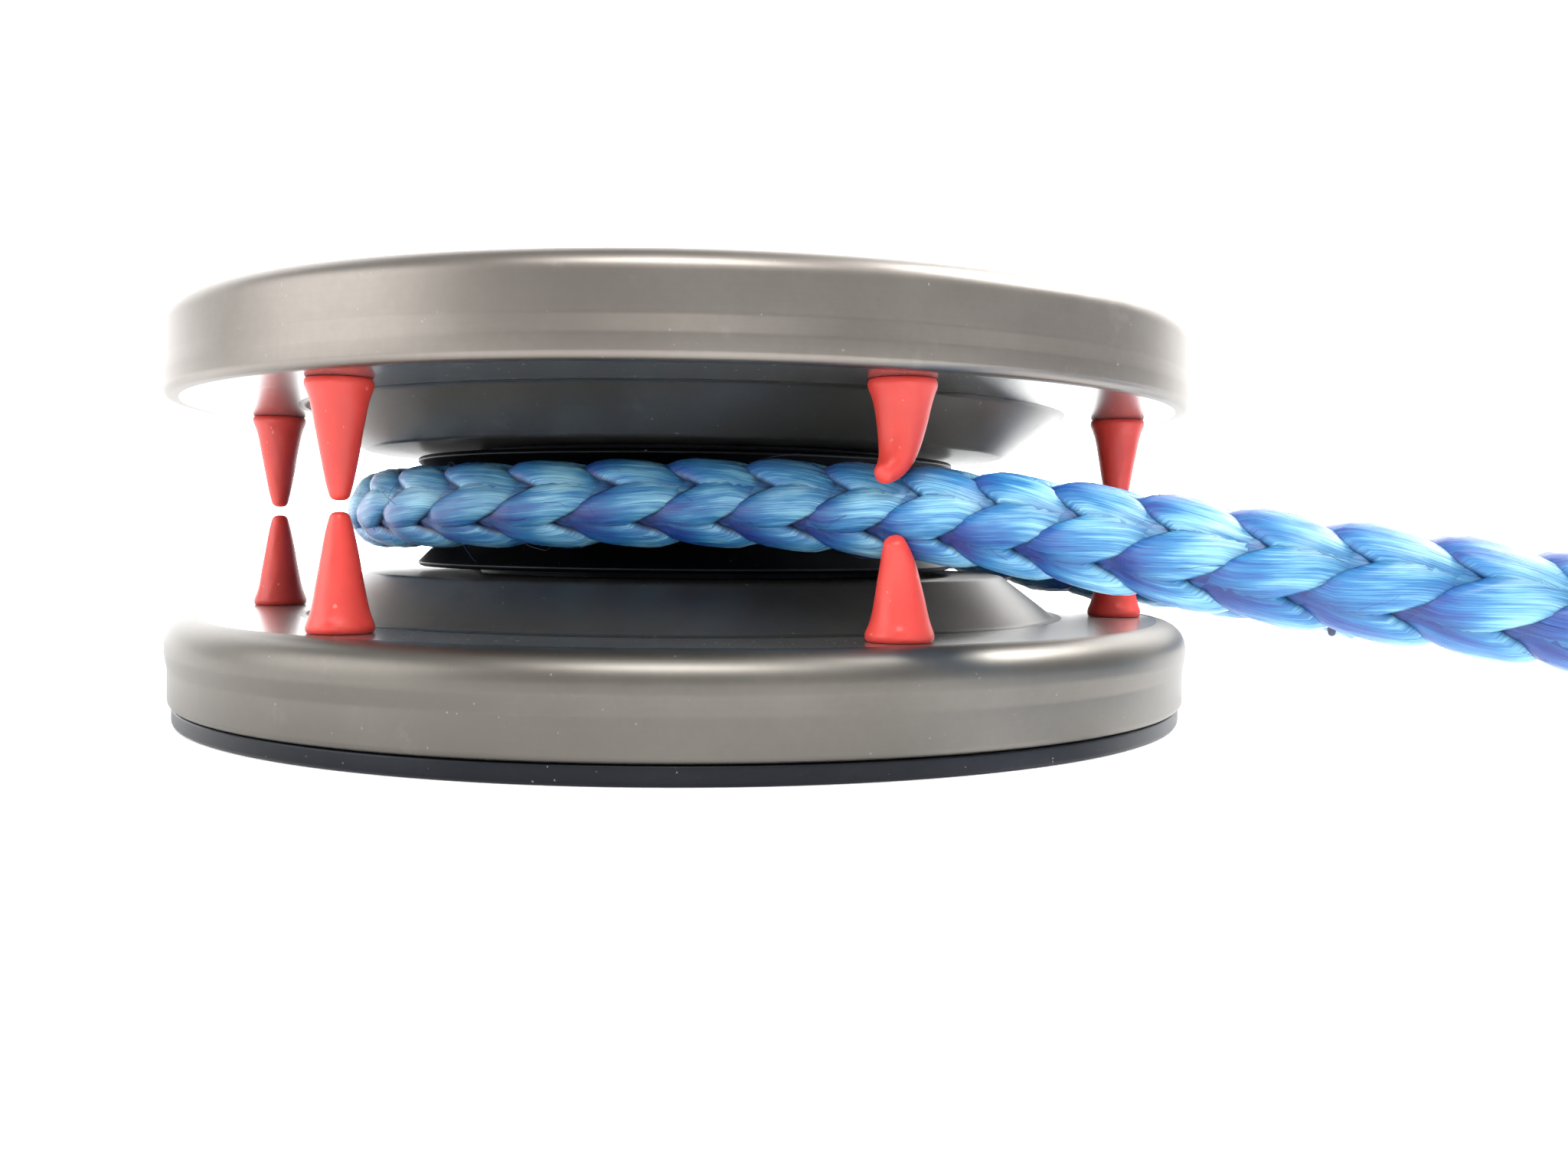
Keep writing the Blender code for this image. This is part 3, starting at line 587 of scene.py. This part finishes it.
def core_rings(points, frames):
    """The rings of the strands' hidden filling, as one plain tube, whose low depth paints it dark navy
    as painted shade between the strands.
    """
    rings = []
    for (_, centre), (side, up, _) in zip(points, frames):
        ring = []
        for k in range(CORE_SIDES):
            a = 2 * math.pi * k / CORE_SIDES
            ring.append((centre + (side * math.cos(a) + up * math.sin(a)) * CORE_R,
                         CORE_DEPTH, CORE_SHEEN, a))
        rings.append(ring)
    return rings


def braid(material):
    """The whole line as twelve woven strands round a filling that is painted dark as shade between
    them.
    """
    route = line_route() + coil_route()
    points = smooth_points(route, lambda s: 2.4 if s < FRONT_FROM else 1.2 if s < SEEN_END else 2.8)
    frames = frames_along([p for _, p in points])
    bm = bmesh.new()
    uv = bm.loops.layers.uv.new("strand")
    depth = bm.verts.layers.float.new("depth")
    painted_sheen = bm.verts.layers.float.new("painted_sheen")
    strands = [(hand, strand_rings(points, frames, hand, index))
               for hand in (1, -1) for index in range(STRAND_PAIRS)]
    lean = math.atan(2 * math.pi * LINE_R / (PICK * STRAND_PAIRS))
    for hand, rings in strands + [(1, core_rings(points, frames))]:
        start = rng.uniform(0, 50)
        spots = []
        rows = []
        for (s, _), ring in zip(points, rings):
            row = []
            for point, deep, sheen_level, w in ring:
                v = bm.verts.new(point)
                v[depth], v[painted_sheen] = deep, sheen_level
                row.append(v)
            along = s / math.cos(lean)
            turn = hand * YARN_TURN
            spots.append([(start + (along * math.cos(turn) - w * math.sin(turn)) / UV_UNIT,
                           start + (w * math.cos(turn) + along * math.sin(turn)) / UV_UNIT)
                          for _, _, _, w in ring])
            rows.append(row)
        sides = len(rows[0])
        for i in range(len(rows) - 1):
            for k in range(sides):
                n = (k + 1) % sides
                face = bm.faces.new((rows[i][k], rows[i][n], rows[i + 1][n], rows[i + 1][k]))
                corners = (spots[i][k], spots[i][n], spots[i + 1][n], spots[i + 1][k])
                for loop, spot in zip(face.loops, corners):
                    loop[uv].uv = spot
        for end in (rows[0], rows[-1]):
            bm.faces.new(end)
    bmesh.ops.recalc_face_normals(bm, faces=bm.faces)
    bmesh.ops.scale(bm, vec=(MM, MM, MM), verts=bm.verts)
    mesh = bpy.data.meshes.new("line_braid")
    bm.to_mesh(mesh)
    bm.free()
    mesh.shade_smooth()
    mesh.materials.append(material)
    piece = placed("line_braid", mesh, "housing", ("line", "line_coil"))
    return piece, points, frames


TWINE_R = 0.62
TWINE_TURN = 1.4  # along the line
TWINE_STEPS = 16  # in one turn
TWINE_SIDES = 8


def whipping(name, points, frames, first, last, radius, material):
    """A few close turns of thin twine round one end of the line."""
    span = [(p, f) for (s, p), f in zip(points, frames) if first <= s <= last]
    turns = round((last - first) / TWINE_TURN)
    steps = turns * TWINE_STEPS
    bm = bmesh.new()
    uv = bm.loops.layers.uv.new("twine")
    rows = []
    for i in range(steps + 1):
        share = i / steps
        at = share * (len(span) - 1)
        j = min(int(at), len(span) - 2)
        (p0, f0), (p1, _) = span[j], span[j + 1]
        centre = p0.lerp(p1, at - j)
        side, up, way = f0
        a = 2 * math.pi * turns * share
        out = side * math.cos(a) + up * math.sin(a)
        middle = centre + out * radius
        rows.append([bm.verts.new(middle + (out * math.cos(b) + way * math.sin(b)) * TWINE_R)
                     for b in (2 * math.pi * k / TWINE_SIDES for k in range(TWINE_SIDES))])
    for i, (a, b) in enumerate(zip(rows, rows[1:])):
        for k in range(TWINE_SIDES):
            n = (k + 1) % TWINE_SIDES
            face = bm.faces.new((a[k], a[n], b[n], b[k]))
            spots = ((i, k), (i, k + 1), (i + 1, k + 1), (i + 1, k))
            for loop, (u, v) in zip(face.loops, spots):
                loop[uv].uv = (u / 10, v / TWINE_SIDES)
    for end in (rows[0], rows[-1]):
        bm.faces.new(end)
    return finish(name, bm, material, "housing", sharp=60)


FUZZ_COUNT = 170
FUZZ_R = 0.035
FUZZ_JOINTS = 5


def fuzz(points, frames, material):
    """Loose filaments that stand off the line's surface where it is handled most."""
    bm = bmesh.new()
    spans = [i for i, (s, _) in enumerate(points) if FRONT_FROM < s < SEEN_END]
    for _ in range(FUZZ_COUNT):
        i = rng.choice(spans)
        side, up, way = frames[i]
        a = rng.uniform(0, 2 * math.pi)
        out = side * math.cos(a) + up * math.sin(a)
        round_ = up * math.cos(a) - side * math.sin(a)
        heading = (way * rng.uniform(-1, 1) + round_ * rng.uniform(-0.6, 0.6)).normalized()
        length = rng.uniform(2.0, 6.5)
        lift = rng.uniform(0.15, 0.75)
        base = points[i][1] + out * (LINE_R - 0.25)
        rows = []
        for k in range(FUZZ_JOINTS + 1):
            t = k / FUZZ_JOINTS
            rise = lift * math.sin(math.pi * t * rng.uniform(0.75, 1.0))
            p = base + heading * length * t + out * rise + round_ * 0.5 * t * t * rng.uniform(-1, 1)
            thin = FUZZ_R * (1 - 0.5 * t)
            rows.append([bm.verts.new(p + (out * math.cos(b) + round_ * math.sin(b)) * thin)
                         for b in (0.0, 2.1, 4.2)])
        for lower, upper in zip(rows, rows[1:]):
            for k in range(3):
                n = (k + 1) % 3
                bm.faces.new((lower[k], lower[n], upper[n], upper[k]))
        bm.faces.new(rows[0])
        bm.faces.new(rows[-1])
    return finish("line_fuzz", bm, material, "housing", sharp=60)


def line(fibre, twine):
    piece, points, frames = braid(fibre)
    long = points[-1][0]
    on_it = [
        whipping("standing_end_whipping", points, frames, 0.3, 3.4, LINE_R - 0.35, twine),
        whipping("tail_end_whipping", points, frames, long - 17, long - 3, LINE_R + 0.25, twine),
        fuzz(points, frames, fibre),
    ]
    start = points[0][1] * MM
    [tuple(p * MM) for _, p in points]


# ---------------------------------------------------------------- keepers


KEEPER_OUTLINE = [(0, 0.05), (3.55, 0.05), (3.70, 0.30), (3.74, 0.75), (3.62, 1.15), (3.40, 1.7),
                  (3.15, 2.5), (2.93, 3.5), (2.72, 4.7), (2.45, 6.2), (2.15, 8.0), (1.82, 9.8),
                  (1.50, 11.4), (1.22, 12.5), (1.08, 12.95), (0.80, 13.25), (0.42, 13.38), (0, 13.4)]


KEEPER_COUNT = 6  # on each flange
KEEPER_SIDES = 40
SEAM_NARROWNESS = 9
SEAM_HEIGHT = 0.05  # as a share of the keeper's radius
SEAM_FROM, SEAM_TO = 0.5, 12.8


def keeper(side, number, place, material, lean=(0, 0), power=2.0, shorten=0.0):
    """One soft pin with a wavering mould seam down its front. lean moves the tip sideways, on a bend
    that the power keeps near the tip, and shorten draws the tip down."""
    outline = KEEPER_OUTLINE[:1] + [
        Vector(a).lerp(Vector(b), t) for a, b in zip(KEEPER_OUTLINE[1:], KEEPER_OUTLINE[2:])
        for t in (0.0, 0.5)] + KEEPER_OUTLINE[-1:]
    bm = turned_bmesh(outline, KEEPER_SIDES)
    for v in bm.verts:
        x, y, h = v.co
        angle = math.atan2(y, x) + math.pi / 2 + 0.12 * math.sin(h * 0.9)
        seam = max(0.0, 1 - abs(math.sin(angle)) * SEAM_NARROWNESS) if math.cos(angle) > 0 else 0.0
        ripple = SEAM_HEIGHT * seam * (1 + math.sin(h * 5.2)) * (SEAM_FROM < h < SEAM_TO)
        wobble = 1 + ripple + 0.006 * math.sin(3 * angle + h)
        share = max(0.0, h / KEEPER_LENGTH) ** power
        slope = power * max(0.0, h / KEEPER_LENGTH) ** (power - 1) / KEEPER_LENGTH
        tilt = Vector((0, 0, 1)).rotation_difference(
            Vector((lean[0] * slope, lean[1] * slope, 1 - shorten * slope)))
        around = tilt @ Vector((x * wobble, y * wobble, 0))
        v.co = Vector((lean[0] * share, lean[1] * share, h - shorten * share)) + around
    flip = -1 if side == "upper" else 1
    face = MID_Z - flip * HALF_GAP
    for v in bm.verts:
        v.co = Vector((place[0] + v.co.x, place[1] + v.co.y, face + flip * v.co.z))
    finish(f"{side}_keeper_rubber_{number}", bm, material, "housing",
           (f"{side}_keeper_{number}",), sharp=60)


def keepers(material):
    for i in range(KEEPER_COUNT):
        place = polar(KEEPER_CIRCLE_R, -90 + KEEPER_FIRST_ANGLE + 360 * i / KEEPER_COUNT)
        lower, upper = {}, {}
        if i == 1:  # the line runs between these two
            lower = {"lean": (-1.1, -2.4), "power": 2.2, "shorten": 2.3}
            upper = {"lean": (-2.7, -2.6), "power": 3.4, "shorten": 3.1}
        keeper("lower", i + 1, place, material, **lower)
        keeper("upper", i + 1, place, material, **upper)


# ---------------------------------------------------------------- flanges, sheave and covers


def flange(side, grey, inner, dull):
    """One flange: a grey rim with a bead at its inner edge, a dark plate inside it, and the cone that
    flows up from the plate."""
    upper = side == "upper"
    face, flat, outer = HALF_GAP, CONE_HALF_GAP, HALF_GAP + FLANGE_THICK
    seam = RIM_INNER_R + (3.1 if upper else 1.2)
    bead, bead_edge = (2.6, 1.0) if upper else (4.4, 3.4)
    rim = rounded([
        (FLANGE_R, outer, 2.6 if upper else 0.9), (FLANGE_R, face + bead + 2.0, 3.0),
        (BEAD_R, face + bead, 3.0), (BEAD_R, face, bead_edge), (seam, face, 0), (seam, face + 2.0, 0),
        (RIM_INNER_R, face + 2.6, 0), (RIM_INNER_R, outer, 0.5)], 8)
    back = [(LAND_OUTER_R, face + PLATE_THICK, 0.4), (seam - 0.02, face + PLATE_THICK, 0)]
    if upper:
        plate = [(seam - 0.02, face, 0), (CONE_BORE_R, face, 0), (CONE_BORE_R, face + 1.5, 0),
                 (STEM_BORE_R, face + 1.5, 0.2), (STEM_BORE_R, face + 5.0, 0.2),
                 (LAND_INNER_R, face + 5.0, 0.4),
                 (LAND_INNER_R, outer - 2.5, 0.3), (LAND_OUTER_R, outer - 2.5, 0.3)]
        bore = [(CONE_BORE_R, face - 0.02, 0)]
    else:
        plate = [(seam - 0.02, face, 0), (LAND_INNER_R, face, 0), (LAND_INNER_R, outer, 0.3),
                 (LAND_OUTER_R, outer, 0.3)]
        bore = [(CONE_BORE_R, flat + 2.0, 0), (LAND_INNER_R, flat + 2.0, 0),
                (LAND_INNER_R, face - 0.02, 0)]
    foot = [(CONE_FOOT_R + 1.0, face - 0.02, 0), (CONE_FOOT_R - 0.1, face - 0.06, 1.5),
            (CONE_TOP_R + 0.9, flat, 1.8), (CONE_BORE_R, flat, 0.3)]
    sign = 1 if upper else -1
    for piece, outline, paint, replaced in (
            ("rim", rim, grey, (f"{side}_flange",)),
            ("plate", rounded(plate + back), inner, ()),
            ("cone", rounded(foot + bore, 10), dull, (f"{side}_guide_cone",))):
        bm = turned_bmesh([(r, MID_Z + sign * z) for r, z in outline], ROUND_SIDES)
        finish(f"{side}_flange_{piece}", bm, paint, "housing", replaced)


def sheave(material):
    """The two cheeks of the V groove."""
    for side, sign in (("lower", -1), ("upper", 1)):
        low, high = mm_box(f"{side}_cheek")
        end = (low.z if sign < 0 else high.z) - MID_Z
        outline = rounded([
            (SHEAVE_BORE_R, sign * 0.15, 0), (GROOVE_FLOOR_R, sign * 0.15, 0),
            (GROOVE_FLOOR_R, sign * 0.5, 0),
            (SHEAVE_RIM_R, sign * 7.0, 0.25), (SHEAVE_RIM_R - 0.4, sign * 7.5, 0.2),
            (SHEAVE_POCKET_R, sign * 7.5, 0), (SHEAVE_POCKET_R, end, 0.4), (SHEAVE_BORE_R, end, 0.3)])
        bm = turned_bmesh([(r, MID_Z + z) for r, z in outline], 180)
        finish(f"{side}_cheek_skin", bm, material, "sheave", (f"{side}_cheek",))


def base_plate(material):
    low, high = mm_box("base_plate")
    top = high.z + 0.25
    outline = rounded([(BASE_BORE_R, low.z, 0.3), (high.x, low.z, 0.6), (high.x, top, 0.3),
                       (BASE_BORE_R, top, 0.3)])
    finish("base_plate_skin", turned_bmesh(outline, ROUND_SIDES), material, "housing",
           ("base_plate",))


def top_cover(material):
    low, high = mm_box("top_cover")
    outline = rounded([(COVER_BORE_R, low.z, 0.2), (high.x, low.z, 0.2), (high.x, high.z, 0.5),
                       (COVER_BORE_R, high.z, 0.4)])
    finish("top_cover_skin", turned_bmesh(outline, ROUND_SIDES), material, "housing",
           ("top_cover",))


def paint_cad(materials):
    """Gives each CAD node that still shows the material of its record slot."""
    slots = {s["node"]: s["material_slot"] for s in frame["record"]["subparts"]}
    for node, piece in frame["nodes"].items():
        piece.data.materials.clear()
        piece.data.materials.append(materials[slots[node]])


# ---------------------------------------------------------------- the whole winch


def main():
    camera()
    fibre = line_fibre()
    line(fibre, whipping_twine())
    studio()
    grey = anodised("flange_anodised", (0.195, 0.176, 0.157), (0.255, 0.235, 0.214), 0.40)
    # painted shade: the lower rim takes a darker copy of the upper rim's grey
    shaded_low_grey = anodised("low_flange_anodised_painted_shade", (0.142, 0.132, 0.117), (0.185, 0.173, 0.155), 0.41)
    glossy = anodised("face_anodised", (0.25, 0.248, 0.242), (0.31, 0.305, 0.295), 0.22, 0.02, 0.8)
    dull = anodised("cone_anodised", (0.105, 0.102, 0.096), (0.135, 0.131, 0.124), 0.34, 0.0, 0.8)
    black = anodised("black_anodised", (0.022, 0.024, 0.029), (0.034, 0.036, 0.042), 0.42)
    red = keeper_rubber()
    paint_cad({
        "flange_grey": grey,
        "anodised_black": black,
        "keeper_red": red,
        "line_blue": fibre,
        "stainless": satin_metal("stainless_satin", (0.62, 0.61, 0.59), 0.28),
        "bronze": satin_metal("bronze_satin", (0.60, 0.40, 0.17), 0.36),
        "acetal": acetal(),
    })
    keepers(red)
    flange("upper", grey, glossy, dull)
    flange("lower", shaded_low_grey, glossy, dull)
    sheave(black)
    base_plate(black)
    top_cover(grey)


main()
